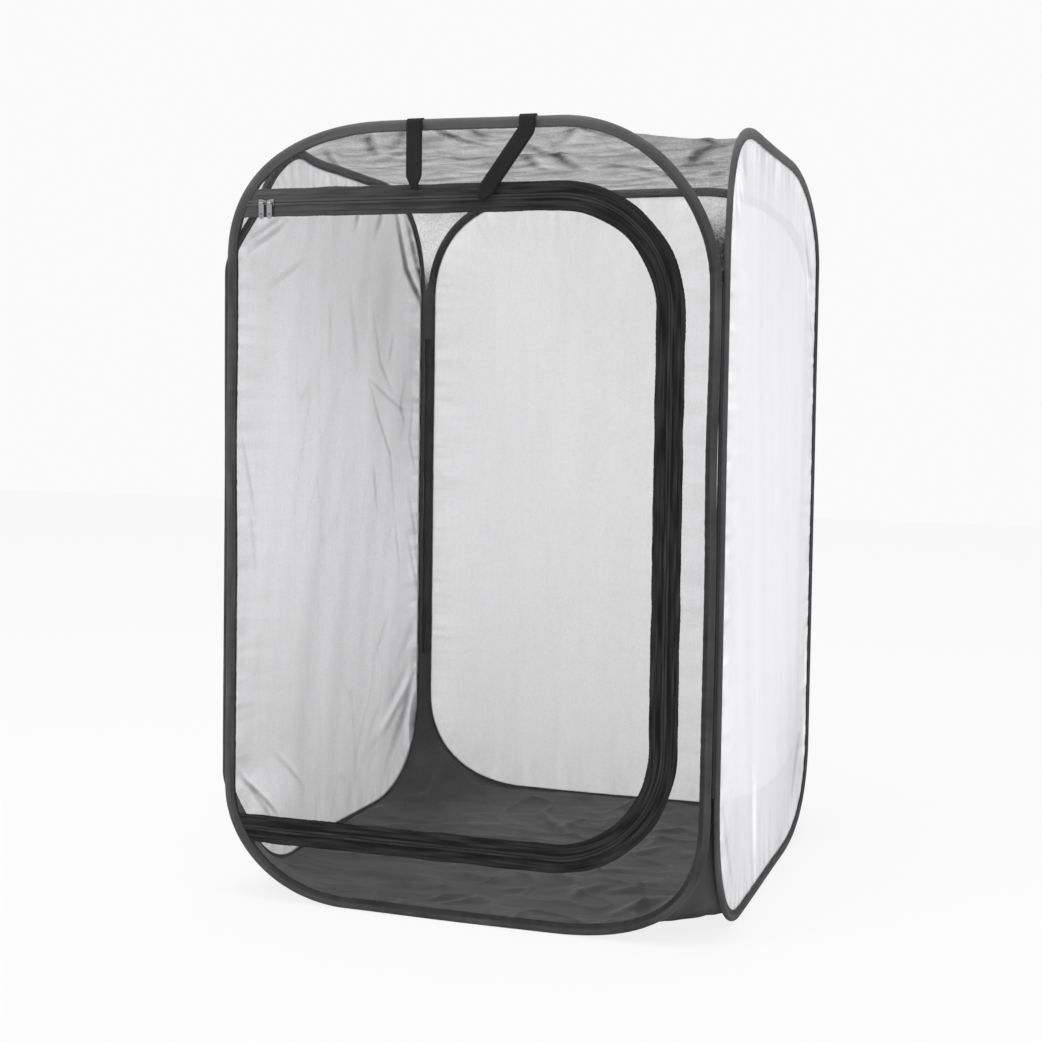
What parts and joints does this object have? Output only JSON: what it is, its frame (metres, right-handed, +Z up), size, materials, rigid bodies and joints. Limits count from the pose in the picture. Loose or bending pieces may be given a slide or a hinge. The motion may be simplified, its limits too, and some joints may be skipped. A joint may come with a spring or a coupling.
{
  "type": "collapsible butterfly cage",
  "caption": "Folding netting cage with spring wire hoops in dark binding tape, a zipped door panel, webbing straps and a cloth floor.",
  "frame": {"origin": "on the ground under the middle of the cage's box", "axes": "+Z up, -Y out of the front wall with the door, +X towards the right wall as seen from the front"},
  "size_m": [0.6288, 0.6152, 0.9171],
  "materials": {
    "spring_steel": "satin",
    "binding_tape": "matte woven",
    "white_net": "fine mesh",
    "dark_net": "fine mesh",
    "floor_cloth": "matte woven",
    "zip_tape": "matte woven",
    "zip_coil": "satin",
    "zip_metal": "bright",
    "webbing": "matte woven"
  },
  "bodies": {
    "front_wall": {"front_wire": "spring_steel", "front_ferrule": "spring_steel", "front_binding": "binding_tape", "front_right_seam": "binding_tape", "front_left_seam": "binding_tape", "front_surround_net": "dark_net", "zip_surround_tape": "zip_tape", "zip_surround_coil": "zip_coil", "zip_top_stop": "zip_metal", "zip_bottom_stop": "zip_metal", "strap_left_wrap": "webbing", "strap_right_wrap": "webbing", "top_net": "dark_net", "floor_cloth": "floor_cloth"},
    "right_wall": {"right_wire": "spring_steel", "right_ferrule": "spring_steel", "right_binding": "binding_tape", "right_net": "white_net"},
    "left_wall": {"left_wire": "spring_steel", "left_ferrule": "spring_steel", "left_binding": "binding_tape", "left_net": "white_net", "back_left_seam": "binding_tape"},
    "back_wall": {"back_wire": "spring_steel", "back_ferrule": "spring_steel", "back_binding": "binding_tape", "back_net": "white_net", "back_right_seam": "binding_tape", "corner_loop": "webbing"},
    "door": {"door_net": "dark_net", "zip_door_tape": "zip_tape", "zip_door_coil": "zip_coil"},
    "left_slider": {"slider_left": "zip_metal"},
    "right_slider": {"slider_right": "zip_metal"},
    "left_pull": {"pull_left": "zip_metal"},
    "right_pull": {"pull_right": "zip_metal"},
    "left_strap": {"strap_left_tail": "webbing"},
    "right_strap": {"strap_right_tail": "webbing"}
  },
  "joints": [
    {"name": "fold", "type": "hinge", "parent": "front_wall", "child": "right_wall", "pos_m": [0.3063, -0.2973, 0], "axis": [0, 0, 1], "range_deg": [0, 85], "deforming": ["top_net", "floor_cloth"]},
    {"name": "left_fold", "type": "hinge", "parent": "front_wall", "child": "left_wall", "pos_m": [-0.2905, -0.2973, 0], "axis": [0, 0, 1], "range_deg": [0, 85]},
    {"name": "back_fold", "type": "hinge", "parent": "left_wall", "child": "back_wall", "pos_m": [-0.2905, 0.2995, 0], "axis": [0, 0, 1], "range_deg": [-85, 0]},
    {"name": "door_swing", "type": "hinge", "parent": "front_wall", "child": "door", "pos_m": [-0.277, -0.3035, 0], "axis": [0, 0, -1], "range_deg": [0, 165]},
    {"name": "left_slider_run", "type": "slide", "parent": "front_wall", "child": "left_slider", "axis": [1, 0, 0], "range_m": [0, 0.33]},
    {"name": "right_slider_run", "type": "slide", "parent": "front_wall", "child": "right_slider", "axis": [1, 0, 0], "range_m": [0, 0.33]},
    {"name": "left_pull_swing", "type": "hinge", "parent": "left_slider", "child": "left_pull", "pos_m": [-0.244, -0.3061, 0.826], "axis": [-1, 0, 0], "range_deg": [0, 170]},
    {"name": "right_pull_swing", "type": "hinge", "parent": "right_slider", "child": "right_pull", "pos_m": [-0.2335, -0.3061, 0.826], "axis": [-1, 0, 0], "range_deg": [0, 170]},
    {"name": "left_strap_swing", "type": "hinge", "parent": "front_wall", "child": "left_strap", "pos_m": [-0.0511, -0.30625, 0.8994], "axis": [-1, 0, 0], "range_deg": [0, 120]},
    {"name": "right_strap_swing", "type": "hinge", "parent": "front_wall", "child": "right_strap", "pos_m": [0.0839, -0.30625, 0.8994], "axis": [-0.809, 0, 0.5878], "range_deg": [0, 120]}
  ],
  "couplings": [
    {"joint": "left_fold", "follows": "fold", "ratio": 1},
    {"joint": "back_fold", "follows": "fold", "ratio": -1},
    {"joint": "right_slider_run", "follows": "left_slider_run", "ratio": 1}
  ]
}
